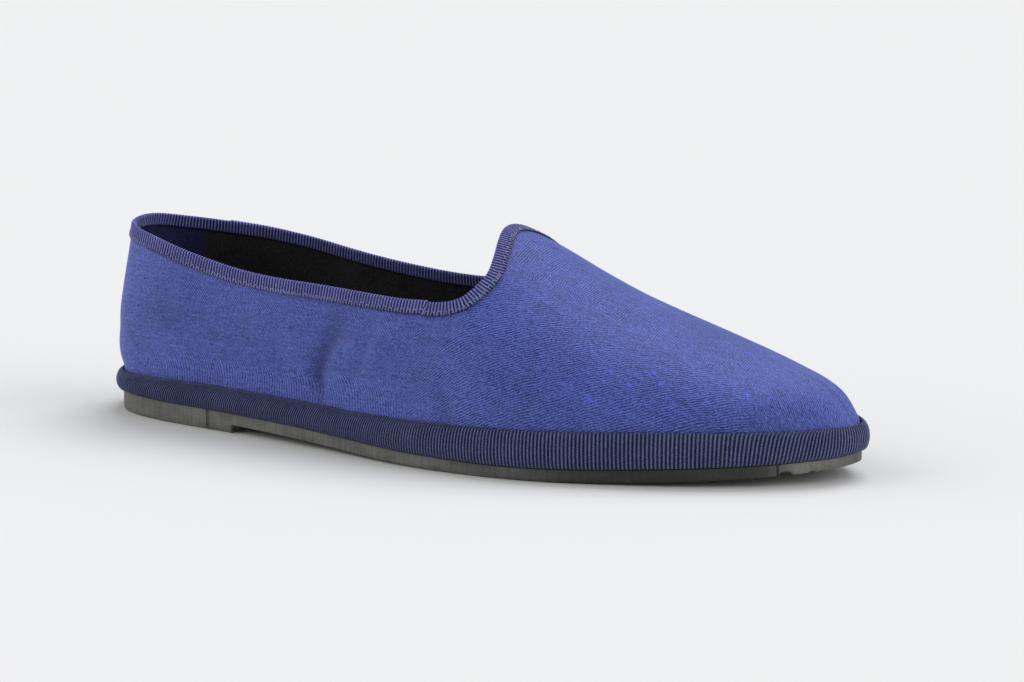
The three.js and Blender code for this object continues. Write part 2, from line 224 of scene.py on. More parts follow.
def columnTop(turn, side):
    forward = 2 * turn - 1
    if forward > 0:
        return float(throatPlace(forward)), math.pi / 2 * float(throatOver[side](forward))
    at = float(placeOfTurn(turn))
    return at, float(angleAt(at, last["heelHeight"] * collarTop[side](at) - foldRadius))


def upperFace(perSide, rows):  # columns of the upper's outer face, with place and angle kept
    turns, sides = aroundTurns(perSide)
    fineSteps = 120
    shares = np.linspace(0, 1, fineSteps + 1) ** last["footPower"]
    points = np.zeros((len(turns), rows + 1, 3))
    places = np.zeros((len(turns), rows + 1))
    angles = np.zeros((len(turns), rows + 1))
    for c, (turn, side) in enumerate(zip(turns, sides)):
        foot = float(placeOfTurn(turn))
        topAt, topAngle = columnTop(float(turn), int(side))
        lift = max(1 - max(0, 2 * turn - 1), 0) ** last["fanPower"]
        at = foot + (topAt - foot) * shares
        angle = topAngle * (shares ** lift if turn < 1 else np.ones_like(shares))
        line = lastPoint(at, int(side), angle)
        steps = travelled(np.linalg.norm(np.diff(line, axis=0), axis=1))
        wanted = steps[-1] * np.linspace(0, 1, rows + 1) ** last["rowPower"]
        for k in range(3):
            points[c, :, k] = np.interp(wanted, steps, line[:, k])
        places[c] = np.interp(wanted, steps, at)
        angles[c] = np.interp(wanted, steps, angle)
    return points, places, angles, turns, sides


def gridNormals(grid):  # outward normals of a grid of columns that runs once round
    across = np.roll(grid, -1, axis=0) - np.roll(grid, 1, axis=0)
    up = np.empty_like(grid)
    up[:, 1:-1] = grid[:, 2:] - grid[:, :-2]
    up[:, 0] = grid[:, 1] - grid[:, 0]
    up[:, -1] = grid[:, -1] - grid[:, -2]
    normal = np.cross(across, up)
    return normal / np.linalg.norm(normal, axis=-1, keepdims=True)


def clothPlaces(places, angles, turns, sides):  # metres along the grain and up the cloth
    sheetColumns, sheetRows = 160, 80
    heelTurn = 0.3                       # the outline is followed up to here, then the length
    fineTurns = np.linspace(0, heelTurn, 200)
    gridAt = np.linspace(0, 1, sheetColumns + 1)
    gridAngle = np.linspace(0, math.pi / 2, sheetRows + 1)
    along = np.zeros_like(places)
    up = np.zeros_like(places)
    for side in (-1, 1):
        sheet = lastPoint(gridAt[:, None], side, gridAngle[None, :])
        steps = np.linalg.norm(np.diff(sheet, axis=1), axis=2)
        lengths = np.pad(np.cumsum(steps, axis=1), ((0, 0), (1, 0)))
        half = lengths[:, -1]
        reference = np.interp(0.5, gridAt, half)
        shift = reference - np.interp(np.maximum(gridAt, 0.5), gridAt, half)
        chosen = sides == side
        at = places[chosen]
        i = np.clip((at * sheetColumns).astype(int), 0, sheetColumns - 1)
        u = at * sheetColumns - i
        j = np.clip((angles[chosen] / gridAngle[1]).astype(int), 0, sheetRows - 1)
        v = angles[chosen] / gridAngle[1] - j
        low = lengths[i, j] * (1 - v) + lengths[i, j + 1] * v
        high = lengths[i + 1, j] * (1 - v) + lengths[i + 1, j + 1] * v
        up[chosen] = low * (1 - u) + high * u + np.interp(at, gridAt, shift)
        edgeX, edgeY = footprint(fineTurns, side, last["upperInset"])
        walked = travelled(np.hypot(np.diff(edgeX), np.diff(edgeY)))
        beyond = walked[-1] + (at - placeOfTurn(heelTurn)) * last["length"]
        nearHeel = np.interp(turnOfPlace(at), fineTurns, walked)
        along[chosen] = np.where(at > placeOfTurn(heelTurn), beyond, nearHeel)
    return along, up


def linked(name, data):
    thing = bpy.data.objects.new(name, data)
    bpy.context.scene.collection.objects.link(thing)
    return thing


def meshFrom(name, points, faces, uv=None, attributes=None):
    mesh = bpy.data.meshes.new(name)
    mesh.from_pydata(points.tolist(), [], faces)
    if uv is not None:
        layer = mesh.uv_layers.new(name="cloth")
        corners = np.zeros(len(mesh.loops), np.int32)
        mesh.loops.foreach_get("vertex_index", corners)
        layer.data.foreach_set("uv", uv[corners].astype(np.float32).ravel())
    for key, values in (attributes or {}).items():
        attribute = mesh.attributes.new(key, "FLOAT", "POINT")
        attribute.data.foreach_set("value", values.astype(np.float32))
    mesh.validate()
    mesh.shade_smooth()
    return linked(name, mesh)


def ringFaces(rings, count, closed):  # quads between rings, or back to the first one
    faces = []
    spans = rings if closed else rings - 1
    c = np.arange(count)
    d = (c + 1) % count
    for r in range(spans):
        low = r * count
        high = (r + 1) % rings * count
        faces.append(np.stack([low + c, low + d, high + d, high + c], axis=1))
    return np.concatenate(faces)


def capFaces(base, count, up):  # bridges a ring across, lateral side to medial side
    faces = []
    half = count // 2
    for c in range(half):
        quad = [base + c, base + c + 1, base + (count - c - 1) % count, base + (count - c) % count]
        quad = list(dict.fromkeys(quad))
        faces.append(quad if up else quad[::-1])
    return faces


def solid(name, rings, closed, uv=None, attributes=None):
    count = len(rings[0])
    faces = ringFaces(len(rings), count, closed).tolist()
    if not closed:
        faces += capFaces(0, count, False) + capFaces((len(rings) - 1) * count, count, True)
    return meshFrom(name, np.concatenate(rings), faces, uv, attributes)


def dress(piece, slotName, material, *nodes):  # gives a piece its material, hangs it under the root and hides the frame's nodes that it replaces
    piece.data.materials.clear()
    piece.data.materials.append(material)
    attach(piece, "root")
    if nodes:
        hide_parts(*nodes)
    return piece


# Materials
def newMaterial(name):
    material = bpy.data.materials.new(name)
    material.use_nodes = True
    tree = material.node_tree
    return material, tree, tree.nodes["Principled BSDF"]


def add(tree, kind, inputs=None, **settings):
    made = tree.nodes.new(kind)
    for key, value in settings.items():
        setattr(made, key, value)
    for key, value in (inputs or {}).items():
        if isinstance(value, bpy.types.NodeSocket):
            tree.links.new(value, made.inputs[key])
        else:
            made.inputs[key].default_value = value
    return made


def math2(tree, operation, a, b=0.0, clamp=False):
    return add(tree, "ShaderNodeMath", {0: a, 1: b}, operation=operation, use_clamp=clamp).outputs[0]


def mixColour(tree, share, a, b, blend="MIX"):
    made = add(tree, "ShaderNodeMix", {0: share}, data_type="RGBA", blend_type=blend)
    for index, value in ((6, a), (7, b)):
        if isinstance(value, bpy.types.NodeSocket):
            tree.links.new(value, made.inputs[index])
        else:
            made.inputs[index].default_value = (*value, 1)
    return made.outputs[2]


def noiseAt(tree, vector, stretch, detail=2.0, rough=0.5):  # noise with its own fineness each way
    moved = add(tree, "ShaderNodeMapping", {"Vector": vector, "Scale": stretch}).outputs[0]
    made = add(tree, "ShaderNodeTexNoise", {
        "Vector": moved, "Scale": 1.0, "Detail": detail, "Roughness": rough})
    return made.outputs["Fac"]


def weighed(tree, parts, start=0.0, middle=0.0):  # start, plus each value less the middle times its share
    total = start
    for value, share in parts:
        away = math2(tree, "SUBTRACT", value, middle)
        total = math2(tree, "ADD", total, math2(tree, "MULTIPLY", away, share))
    return total


def triangleWave(tree, phase):  # 1 at each whole phase and 0 half way between two
    doubled = math2(tree, "MULTIPLY", math2(tree, "FRACT", phase), 2)
    return math2(tree, "ABSOLUTE", math2(tree, "SUBTRACT", doubled, 1))


def ramp(tree, value, low, high):  # 0 below low, 1 above high
    made = add(tree, "ShaderNodeMapRange", {"Value": value, "From Min": low, "From Max": high},
               interpolation_type="SMOOTHSTEP")
    return made.outputs[0]


def bump(tree, shader, height, distance):
    made = add(tree, "ShaderNodeBump", {"Height": height, "Distance": distance, "Strength": 1.0})
    tree.links.new(made.outputs[0], shader.inputs["Normal"])


silkLook = {
    "dark": (0.014, 0.022, 0.13),
    "bright": (0.105, 0.155, 0.6),
    # painted shade in the crease troughs
    "paintedCreaseShade": (0.016, 0.022, 0.13),
    "nub": (0.07, 0.12, 0.85),
    "roughness": 0.55,
    "weave": 0.00014,         # depth of the bump
    "wander": 0.0022,
    # Fine lines: leaning back on the quarter, upright near the foot, rising on the vamp, upright at
    # its crown and falling at the toe. Each lean is the shares of the way along and up the cloth
    "quarterPitch": 0.00108,
    "vampPitch": 0.00072,
    "rising": (-0.62, 0.79),
    "crown": (1.0, 0.0),
    "falling": (0.64, 0.77),
    "lineShare": 0.5,
    # Metres up or along the cloth over which one kind of line gives way to the next
    "offFoot": (0.004, 0.028),
    "toCrown": (0.052, 0.068),
    "toToe": (0.25, 0.262),
    "toVamp": (0.134, 0.15),
    "fromHeel": (0.012, 0.05),
    "nubs": [(0.2111, 0.0423), (0.2235, 0.0485), (0.2268, 0.0456), (0.2182, 0.0405), (0.2522, 0.0569),
             (0.2097, 0.0611), (0.2075, 0.031), (0.243, 0.079), (0.226, 0.083)],   # along and up the cloth
    "nubSize": (0.0004, 0.0014),
    "nubSquash": 1.5,
}


def fineLines(tree, cloth, lean, pitch, wander):  # threads seen as lines, square to their lean
    along, up = (math2(tree, "MULTIPLY", place, share) for place, share in zip(cloth, lean))
    phase = math2(tree, "ADD", math2(tree, "ADD", along, up), wander)
    return math2(tree, "SINE", math2(tree, "MULTIPLY", phase, 2 * math.pi / pitch))


def mixNumber(tree, share, a, b):
    return math2(tree, "ADD", a, math2(tree, "MULTIPLY", share, math2(tree, "SUBTRACT", b, a)))


def silkMaterial():
    look = silkLook
    material, tree, shader = newMaterial("blueSlubSilk")
    cloth = add(tree, "ShaderNodeUVMap", uv_map="cloth").outputs[0]
    body = add(tree, "ShaderNodeTexCoord").outputs["Object"]
    split = add(tree, "ShaderNodeSeparateXYZ", {0: cloth})
    along, up = split.outputs[0], split.outputs[1]
    across = add(tree, "ShaderNodeSeparateXYZ", {0: body}).outputs["Y"]
    place = add(tree, "ShaderNodeCombineXYZ", {0: along, 1: up, 2: across}).outputs[0]
    wander = weighed(tree, [(noiseAt(tree, place, (110, 150, 60)), look["wander"])], middle=0.5)
    upright = ramp(tree, up, *look["offFoot"])
    quarter = fineLines(tree, (along, up), (1.0, upright), look["quarterPitch"], wander)
    rising, crown, falling = (fineLines(tree, (along, up), look[lean], look["vampPitch"], wander)
                              for lean in ("rising", "crown", "falling"))
    lines = mixNumber(tree, ramp(tree, up, *look["toCrown"]), rising, crown)
    lines = mixNumber(tree, ramp(tree, along, *look["toToe"]), lines, falling)
    lines = mixNumber(tree, ramp(tree, along, *look["toVamp"]), quarter, lines)
    dashes = ramp(tree, noiseAt(tree, place, (900, 900, 200), 1), 0.25, 0.6)
    strength = math2(tree, "MULTIPLY", ramp(tree, along, *look["fromHeel"]), dashes)
    lines = math2(tree, "MULTIPLY", lines, strength)
    longStreak = noiseAt(tree, place, (28, 700, 20))
    shortStreak = noiseAt(tree, place, (260, 1500, 100))
    speckle = noiseAt(tree, place, (1500, 1700, 400), 2, 0.7)
    patch = noiseAt(tree, place, (45, 60, 30), 3)
    tone = weighed(tree, [(longStreak, 0.3), (shortStreak, 0.8), (speckle, 2.4), (patch, 0.35)],
                   math2(tree, "MULTIPLY", lines, look["lineShare"]), 0.5)
    level = math2(tree, "ADD", tone, 0.5, True)
    spots = ramp(tree, noiseAt(tree, place, (330, 700, 120), 1), 0.75, 0.8)
    for alongAt, upAt in look["nubs"]:
        near = add(tree, "ShaderNodeMapping", {
            "Vector": cloth, "Location": (-alongAt, -upAt * look["nubSquash"], 0),
            "Scale": (1, look["nubSquash"], 1)}).outputs[0]
        gap = add(tree, "ShaderNodeVectorMath", {0: near}, operation="LENGTH").outputs["Value"]
        nub = math2(tree, "SUBTRACT", 1.0, ramp(tree, gap, *look["nubSize"]))
        spots = math2(tree, "MAXIMUM", spots, nub)
    colour = mixColour(tree, level, look["dark"], look["bright"])
    # painted shade: the silk darkens in the crease troughs by their depth
    paintedCreaseShade = add(tree, "ShaderNodeAttribute", attribute_name="paintedCreaseShade").outputs["Fac"]
    colour = mixColour(tree, paintedCreaseShade, colour, look["paintedCreaseShade"])
    colour = mixColour(tree, math2(tree, "MULTIPLY", spots, 0.8), colour, look["nub"])
    tree.links.new(colour, shader.inputs["Base Color"])
    height = weighed(tree, [(lines, 0.35), (shortStreak, 0.8), (speckle, 1.0), (spots, 1.0)])
    bump(tree, shader, height, look["weave"])
    shader.inputs["Roughness"].default_value = look["roughness"]
    shader.inputs["Specular IOR Level"].default_value = 0.35
    shader.inputs["Sheen Weight"].default_value = 0.22
    shader.inputs["Sheen Roughness"].default_value = 0.35
    shader.inputs["Sheen Tint"].default_value = (0.45, 0.6, 1, 1)
    return material


def ribbonMaterial(name, groove, crest, beadPitch, sheen):
    material, tree, shader = newMaterial(name)
    inner = add(tree, "ShaderNodeAttribute", attribute_name="ribFade").outputs["Fac"]
    body = add(tree, "ShaderNodeTexCoord").outputs["Object"]
    cloth = add(tree, "ShaderNodeSeparateXYZ", {0: add(tree, "ShaderNodeUVMap", uv_map="cloth").outputs[0]})
    phase, across = cloth.outputs[0], cloth.outputs[1]
    rise = math2(tree, "POWER", math2(tree, "SUBTRACT", 1.0, triangleWave(tree, phase)), 1.3)
    offset = math2(tree, "MULTIPLY", math2(tree, "FLOOR", phase), 0.5)
    beads = math2(tree, "ADD", math2(tree, "DIVIDE", across, beadPitch), offset)
    beads = math2(tree, "SINE", math2(tree, "MULTIPLY", beads, 2 * math.pi))
    mottle = noiseAt(tree, body, (140, 140, 140), 3)
    fine = noiseAt(tree, body, (2200, 2200, 2200))
    beaded = math2(tree, "MULTIPLY", rise, weighed(tree, [(beads, 0.3)], 1.0))
    level = weighed(tree, [(mottle, 0.3), (fine, 0.9)], beaded, 0.5)
    # painted shade in the rib grooves: the colour runs from the groove colour up to the crest colour with
    # the rib's rise
    colour = mixColour(tree, ramp(tree, level, 0.2, 1.0), groove, crest)
    # painted shade: near-black where the fade attribute is low, on the ribbon's inner side, at its legs'
    # ends and at the midsole ribbon's foot and seat
    colour = mixColour(tree, ramp(tree, inner, 0.0, 0.7), (0.003, 0.003, 0.02), colour)
    tree.links.new(colour, shader.inputs["Base Color"])
    bump(tree, shader, weighed(tree, [(beads, 1.0), (fine, 1.5)]), 0.00005)
    shader.inputs["Roughness"].default_value = 0.7
    shader.inputs["Specular IOR Level"].default_value = 0.3
    shader.inputs["Sheen Weight"].default_value = sheen
    shader.inputs["Sheen Roughness"].default_value = 0.4
    shader.inputs["Sheen Tint"].default_value = (0.7, 0.75, 1, 1)
    return material


rubberLook = {
    "dark": (0.05, 0.052, 0.046),
    "light": (0.16, 0.162, 0.148),
    # place along the shoe in metres and how bright the outer side is there: painted shade under the ball,
    # painted light at the waist and toe
    "paintedShadeAndLight": [(-0.135, 1.05), (-0.06, 1.4), (-0.01, 1.3), (0.03, 0.95), (0.055, 0.42), (0.08, 0.22),
             (0.102, 0.24), (0.112, 0.5), (0.118, 1.2), (0.128, 1.95), (0.135, 1.4)],
    "brightest": 2,           # at the top of the curve
}


def rubberMaterial():
    look = rubberLook
    material, tree, shader = newMaterial("cutRubber")
    body = add(tree, "ShaderNodeTexCoord").outputs["Object"]
    split = add(tree, "ShaderNodeSeparateXYZ", {0: body})
    sawMarks = noiseAt(tree, body, (1100, 1100, 60), 3)
    blotch = noiseAt(tree, body, (70, 70, 220), 3)
    grit = noiseAt(tree, body, (1800, 1800, 1800))
    tone = weighed(tree, [(sawMarks, 0.5), (blotch, 0.9), (grit, 0.5)])
    colour = mixColour(tree, ramp(tree, tone, 0.55, 1.35), look["dark"], look["light"])
    # painted shade and light: a curve along the shoe darkens the ball and lightens the waist and toe, on the
    # outer side only
    half = last["length"] / 2
    share = math2(tree, "DIVIDE", math2(tree, "ADD", split.outputs["X"], half), last["length"])
    paintedShadeAndLight = tree.nodes.new("ShaderNodeFloatCurve")
    tree.links.new(share, paintedShadeAndLight.inputs["Value"])
    points = paintedShadeAndLight.mapping.curves[0].points
    while len(points) < len(look["paintedShadeAndLight"]):
        points.new(0.5, 0.5)
    for point, (x, bright) in zip(points, look["paintedShadeAndLight"]):
        point.location = ((x + half) / last["length"], bright / look["brightest"])
        point.handle_type = "AUTO_CLAMPED"
    paintedShadeAndLight.mapping.update()
    outerSide = ramp(tree, split.outputs["Y"], 0.01, -0.02)
    paintedShadeAndLight = math2(tree, "MULTIPLY", paintedShadeAndLight.outputs[0], look["brightest"])
    bright = mixNumber(tree, outerSide, 1.0, paintedShadeAndLight)
    tint = add(tree, "ShaderNodeCombineXYZ", {0: bright, 1: bright, 2: bright}).outputs[0]
    tree.links.new(mixColour(tree, 1.0, colour, tint, "MULTIPLY"), shader.inputs["Base Color"])
    bump(tree, shader, math2(tree, "ADD", sawMarks, grit), 0.00014)
    shader.inputs["Roughness"].default_value = 0.62
    return material


def plainClothMaterial(name, dark, light, pitch, patch=None):
    material, tree, shader = newMaterial(name)
    body = add(tree, "ShaderNodeTexCoord").outputs["Object"]
    weave = add(tree, "ShaderNodeTexVoronoi", {"Vector": body, "Scale": 1 / pitch}).outputs["Distance"]
    mottle = noiseAt(tree, body, (90, 90, 90), 3)
    level = weighed(tree, [(mottle, 1.0)], math2(tree, "MULTIPLY", weave, 0.8), 0.5)
    level = ramp(tree, level, 0, 0.8)
    colour = mixColour(tree, level, dark, light)
    if patch:
        split = add(tree, "ShaderNodeSeparateXYZ", {0: body})
        behind = ramp(tree, split.outputs["X"], patch["front"] + patch["frontSoftness"], patch["front"])
        above = ramp(tree, split.outputs["Z"], patch["foot"], patch["foot"] + patch["footSoftness"])
        patchColour = mixColour(tree, level, patch["dark"], patch["light"])
        colour = mixColour(tree, math2(tree, "MULTIPLY", behind, above), colour, patchColour)
    tree.links.new(colour, shader.inputs["Base Color"])
    bump(tree, shader, weave, 0.0002)
    shader.inputs["Roughness"].default_value = 0.9
    shader.inputs["Specular IOR Level"].default_value = 0.2
    return material


heelPatch = {
    "front": -0.1165,
    "foot": 0.03,
    "frontSoftness": 0.0012,
    "footSoftness": 0.002,
    "dark": (0.008, 0.008, 0.04),
    "light": (0.022, 0.022, 0.085),
}
blackTones = (0.01, 0.01, 0.012), (0.026, 0.027, 0.03)
silk = silkMaterial()
edgeRibbon = ribbonMaterial("edgeRibbon", (0.003, 0.004, 0.032), (0.15, 0.175, 0.38), 0.00045, 0.1)
bindingRibbon = ribbonMaterial("bindingRibbon", (0.01, 0.011, 0.12), (0.26, 0.27, 0.66), 0.0004, 0.12)
rubber = rubberMaterial()
blackCloth = plainClothMaterial("blackCloth", *blackTones, 0.0006)
liningCloth = plainClothMaterial("liningCloth", *blackTones, 0.0006, heelPatch)
stitchThread = plainClothMaterial("stitchThread", (0.17, 0.19, 0.33), (0.4, 0.43, 0.62), 0.0003)
print("materials made")


# Geometry Nodes: ribs raised on a ribbon, and stitches along a seam
def newTree(name, inputs):
    tree = bpy.data.node_groups.new(name, "GeometryNodeTree")
    tree.interface.new_socket(name="Geometry", in_out="INPUT", socket_type="NodeSocketGeometry")
    tree.interface.new_socket(name="Geometry", in_out="OUTPUT", socket_type="NodeSocketGeometry")
    for label, kind in inputs.items():
        tree.interface.new_socket(name=label, in_out="INPUT", socket_type=kind)
    return tree, tree.nodes.new("NodeGroupInput"), tree.nodes.new("NodeGroupOutput")


def closeTree(tree, made, given, output):  # every tree ends in Realize Instances and Set Material
    real = add(tree, "GeometryNodeRealizeInstances", {0: made})
    dressed = add(tree, "GeometryNodeSetMaterial", {
        "Geometry": real.outputs[0], "Material": given.outputs["Material"]})
    tree.links.new(dressed.outputs[0], output.inputs[0])
    return tree


def ribTree():
    tree, given, output = newTree("raisedRibs", {
        "Rib Depth": "NodeSocketFloat", "Rib Squareness": "NodeSocketFloat",
        "Unevenness": "NodeSocketFloat", "Material": "NodeSocketMaterial"})
    phase, fade = (add(tree, "GeometryNodeInputNamedAttribute", {"Name": name}, data_type="FLOAT").outputs[0]
                   for name in ("ribPhase", "ribFade"))
    swing = math2(tree, "POWER", triangleWave(tree, phase), given.outputs["Rib Squareness"])
    crest = math2(tree, "SUBTRACT", 1.0, swing)
    noise = add(tree, "ShaderNodeTexNoise", {"Scale": 90.0, "Detail": 2.0}).outputs["Fac"]
    uneven = math2(tree, "MULTIPLY", math2(tree, "SUBTRACT", noise, 0.5), given.outputs["Unevenness"])
    lift = math2(tree, "MULTIPLY", math2(tree, "SUBTRACT", crest, 0.5), given.outputs["Rib Depth"])
    lift = math2(tree, "MULTIPLY", math2(tree, "ADD", lift, uneven), fade)
    normal = tree.nodes.new("GeometryNodeInputNormal").outputs[0]
    offset = add(tree, "ShaderNodeVectorMath", {0: normal, "Scale": lift}, operation="SCALE").outputs[0]
    moved = add(tree, "GeometryNodeSetPosition", {"Geometry": given.outputs["Geometry"], "Offset": offset})
    return closeTree(tree, moved.outputs[0], given, output)


def stitchTree():
    tree, given, output = newTree("seamStitches", {
        "Stitch": "NodeSocketObject", "Stitch Pitch": "NodeSocketFloat", "Seed": "NodeSocketInt",
        "Smallest": "NodeSocketFloat", "Largest": "NodeSocketFloat", "Material": "NodeSocketMaterial"})
    curve = add(tree, "GeometryNodeMeshToCurve", {0: given.outputs["Geometry"]})
    spaced = add(tree, "GeometryNodeResampleCurve", {
        "Curve": curve.outputs[0], "Length": given.outputs["Stitch Pitch"]}, mode="LENGTH")
    tangent = tree.nodes.new("GeometryNodeInputTangent").outputs[0]
    outward = add(tree, "GeometryNodeInputNamedAttribute", {"Name": "outward"}, data_type="FLOAT_VECTOR")
    turned = add(tree, "FunctionNodeAlignRotationToVector", {"Vector": tangent}, axis="X")
    settled = add(tree, "FunctionNodeAlignRotationToVector", {
        "Rotation": turned.outputs[0], "Vector": outward.outputs[0]}, axis="Z", pivot_axis="X")
    item = add(tree, "GeometryNodeObjectInfo", {"Object": given.outputs["Stitch"]})
    size = add(tree, "FunctionNodeRandomValue", {
        2: given.outputs["Smallest"], 3: given.outputs["Largest"], "Seed": given.outputs["Seed"]},
        data_type="FLOAT")
    placed = add(tree, "GeometryNodeInstanceOnPoints", {
        "Points": spaced.outputs[0], "Instance": item.outputs["Geometry"],
        "Rotation": settled.outputs[0], "Scale": size.outputs[1]})
    return closeTree(tree, placed.outputs[0], given, output)


def runTree(source, tree, values):  # the evaluated result becomes the object's plain mesh
    modifier = source.modifiers.new(tree.name, "NODES")
    modifier.node_group = tree
    for item in tree.interface.items_tree:
        if item.in_out == "INPUT" and item.name in values:
            modifier[item.identifier] = values[item.name]
    graph = bpy.context.evaluated_depsgraph_get()
    made = source.evaluated_get(graph)
    mesh = bpy.data.meshes.new_from_object(made, preserve_all_data_layers=True, depsgraph=graph)
    source.modifiers.remove(modifier)
    old = source.data
    source.data = mesh
    bpy.data.meshes.remove(old)
    mesh.shade_smooth()
    return source


# Camera, set up from the sides and proportions that the picture shows
cameraFacts = {
    "azimuth": 28.0,
    "elevation": 11.76,
    "distance": 1.76303,
    "lens": 190.34,
    "aim": (0.01245, 0.0023855, 0.03424),
}


def lookFrom(thing, direction):  # turns a camera or a lamp to face back along a direction
    thing.rotation_mode = "QUATERNION"
    thing.rotation_quaternion = (-direction).to_track_quat("-Z", "Y")


def makeCamera():
    data = bpy.data.cameras.new("viewCamera")
    data.lens = cameraFacts["lens"]
    data.sensor_width = 36.0
    data.clip_start = 0.05
    data.clip_end = 100.0
    camera = linked("viewCamera", data)
    a = math.radians(cameraFacts["azimuth"])
    e = math.radians(cameraFacts["elevation"])
    back = Vector((math.sin(a) * math.cos(e), -math.cos(a) * math.cos(e), math.sin(e)))
    camera.location = Vector(cameraFacts["aim"]) + back * cameraFacts["distance"]
    lookFrom(camera, back)
    bpy.context.scene.camera = camera


makeCamera()


# Upper: the silk outside, with its troughs and ridges, and the lining inside
upperSizes = {
    "perSide": 240,
    "rows": 64,
    "silk": (0.00032, 0.00078),        # thickness at the top edge and lower down
    "liningStart": (0.00036, 0.00084),  # how far in the lining begins
    "wall": (0.0007, 0.0016),
    "taper": 0.014,                     # the wall thins out over this height
    "creaseFade": 3,                    # creases fade out over the top part of the taper
    "darkDepth": 0.0024,                # painted crease shade: a trough this deep gets the full painted shade, capped at darkest
    "darkest": 0.75,
}
# A side, then the points of a soft line on it: share of the length, share of the heel height up
# the cloth, depth in metres (minus is a ridge) and half width in metres
creases = [
    (-1, [(0.386, 0.52, 0.0003, 0.0045), (0.377, 0.408, 0.0009, 0.0036), (0.3643, 0.321, 0.0014, 0.003),
          (0.3517, 0.181, 0.0018, 0.0026), (0.356, 0.11, 0.0016, 0.0021), (0.357, 0.03, 0.0008, 0.0014)]),
    (-1, [(0.3, 0.5, 0.0, 0.005), (0.318, 0.3, -0.0006, 0.005), (0.324, 0.12, -0.0005, 0.004)]),
    (-1, [(0.4283, 0.47, 0.0004, 0.0018), (0.4218, 0.35, 0.0006, 0.0016), (0.419, 0.3, 0.00025, 0.0014),
          (0.4153, 0.255, 0.0007, 0.0016), (0.409, 0.21, 0.0003, 0.0014), (0.4025, 0.163, 0.0006, 0.0018)]),
    (-1, [(0.4477, 0.42, -0.0003, 0.0022), (0.439, 0.33, -0.0004, 0.002), (0.4347, 0.284, -0.0005, 0.0021)]),
    (-1, [(0.45, 0.27, -0.00035, 0.002), (0.5, 0.25, -0.0002, 0.0024)]),
    (-1, [(0.385, 0.13, -0.0006, 0.004), (0.4, 0.05, -0.0007, 0.004)]),
    (-1, [(0.53, 0.22, 0.0002, 0.003), (0.545, 0.14, 0.0005, 0.0028), (0.552, 0.06, 0.0005, 0.0025)]),
    (-1, [(0.1, 0.44, 0.0004, 0.005), (0.115, 0.34, 0.0005, 0.005)]),
    (1, [(0.34, 0.5, 0.0002, 0.005), (0.345, 0.25, 0.001, 0.0035), (0.36, 0.05, 0.0007, 0.0022)]),
    (1, [(0.43, 0.4, 0.0003, 0.003), (0.42, 0.2, 0.0005, 0.0025)]),
]
dents = {
    "seed": 11,
    "puckers": 48,            # small folds at the foot
    "puckerDepth": 0.00035,
    "puckerWidth": (0.0012, 0.0028),
    "puckerReach": (0.004, 0.011),
    "swells": 40,             # broad, shallow unevenness
    "swellDepth": 0.0003,
    "swellWidth": (0.006, 0.014),
}


def creaseDepth(along, up, sides):
    depth = np.zeros_like(along)
    for side, line in creases:
        sunk = np.zeros_like(along)
        for (at, rise, sink, width), (nextAt, nextRise, nextSink, nextWidth) in zip(line, line[1:]):
            start = np.array([at * last["length"], rise * last["heelHeight"]])
            run = np.array([nextAt * last["length"], nextRise * last["heelHeight"]]) - start
            share = np.clip(((along - start[0]) * run[0] + (up - start[1]) * run[1]) / run.dot(run), 0, 1)
            gap = np.hypot(along - start[0] - share * run[0], up - start[1] - share * run[1])
            gap = gap / (width + (nextWidth - width) * share)
            here = (sink + (nextSink - sink) * share) * np.exp(-gap ** 2)
            sunk = np.where(np.abs(here) > np.abs(sunk), here, sunk)
        depth += np.where((sides == side)[:, None], sunk, 0)
    return depth


def dentDepth(grid, risen):  # puckers round the foot, and broad swells
    luck = np.random.default_rng(dents["seed"])
    walked = travelled(np.linalg.norm(np.diff(grid[:, 0], axis=0), axis=1))
    depth = np.zeros(grid.shape[:2])
    for k in range(dents["puckers"]):
        gap = np.abs(walked - walked[-1] * (k + luck.uniform(0.1, 0.9)) / dents["puckers"])
        gap = np.minimum(gap, walked[-1] - gap) / luck.uniform(*dents["puckerWidth"])
        sink = dents["puckerDepth"] * luck.uniform(-0.4, 1)
        reach = luck.uniform(*dents["puckerReach"])
        depth += sink * np.exp(-gap ** 2)[:, None] * np.exp(-(risen / reach) ** 2)
    for k in range(dents["swells"]):
        centre = grid[luck.integers(len(grid)), luck.integers(grid.shape[1])]
        gap = np.linalg.norm(grid - centre, axis=2) / luck.uniform(*dents["swellWidth"])
        depth += dents["swellDepth"] * luck.uniform(-1, 1) * np.exp(-gap ** 2)
    return depth


faceGrid, facePlaces, faceAngles, faceTurns, faceSides = upperFace(upperSizes["perSide"], upperSizes["rows"])
faceNormals = gridNormals(faceGrid)
clothAlong, clothUp = clothPlaces(facePlaces, faceAngles, faceTurns, faceSides)
climbed = np.linalg.norm(np.diff(faceGrid, axis=1), axis=2)
climbed = np.pad(np.cumsum(climbed, axis=1), ((0, 0), (1, 0)))
belowTop = np.clip((climbed[:, -1:] - climbed) / upperSizes["taper"], 0, 1)
belowTop = belowTop * belowTop * (3 - 2 * belowTop)
faceSunk = creaseDepth(facePlaces * last["length"], clothUp, faceSides) + dentDepth(faceGrid, climbed)
creaseShare = np.minimum(belowTop * upperSizes["creaseFade"], 1)
clothFace = faceGrid - faceNormals * (faceSunk * creaseShare)[..., None]


def clothLayer(step, size):  # the face moved in by a size that grows from the top edge down
    top, lower = size
    inward = top + (lower - top) * belowTop[::step, ::step]
    layer = clothFace[::step, ::step] - faceNormals[::step, ::step] * inward[..., None]
    layer[:, 0, 2] = clothFace[::step, 0, 2]
    return layer


def clothRings(outer, inner):
    rows = outer.shape[1]
    return [outer[:, r] for r in range(rows)] + [inner[:, r] for r in range(rows - 1, -1, -1)]


